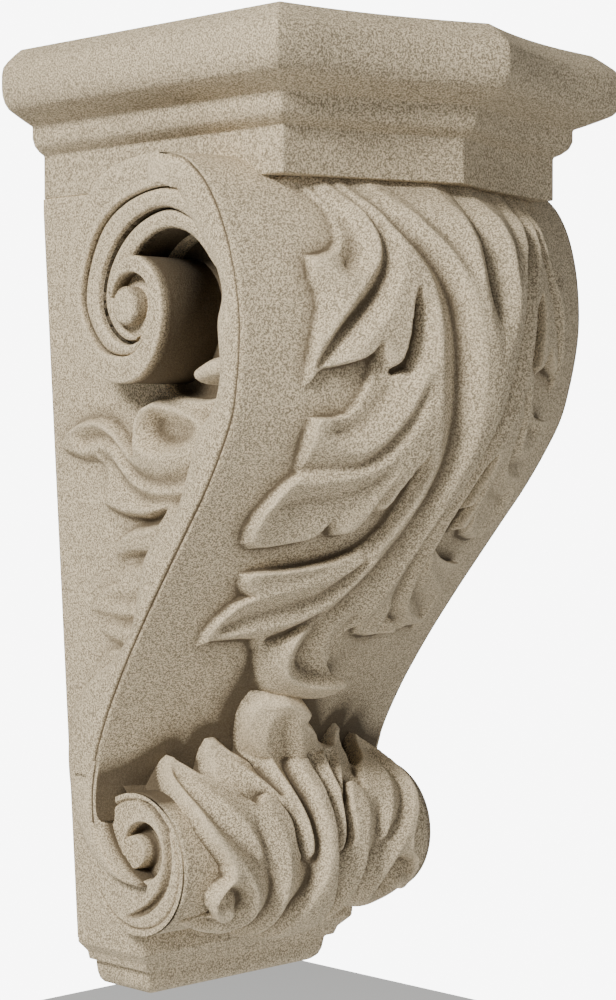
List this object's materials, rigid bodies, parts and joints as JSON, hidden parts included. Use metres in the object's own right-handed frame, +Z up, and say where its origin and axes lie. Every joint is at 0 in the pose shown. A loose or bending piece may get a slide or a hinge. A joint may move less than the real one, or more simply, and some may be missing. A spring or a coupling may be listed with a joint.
{
  "type": "carved stone corbel",
  "caption": "Carved sandstone corbel: moulded pointed cap, S-scroll bracket with side volutes, acanthus leaves on the front and over the lower roll, stepped foot.",
  "frame": {"origin": "middle of the flat back face that lies on the wall, half-way up and midway between the sides", "axes": "+Y into the wall, square to the back face; +Z up; +X to the right as seen from the front"},
  "size_m": [0.1858, 0.1696, 0.356],
  "materials": {
    "sandstone": null
  },
  "bodies": {
    "root": {"corbel": "sandstone"}
  },
  "joints": []
}
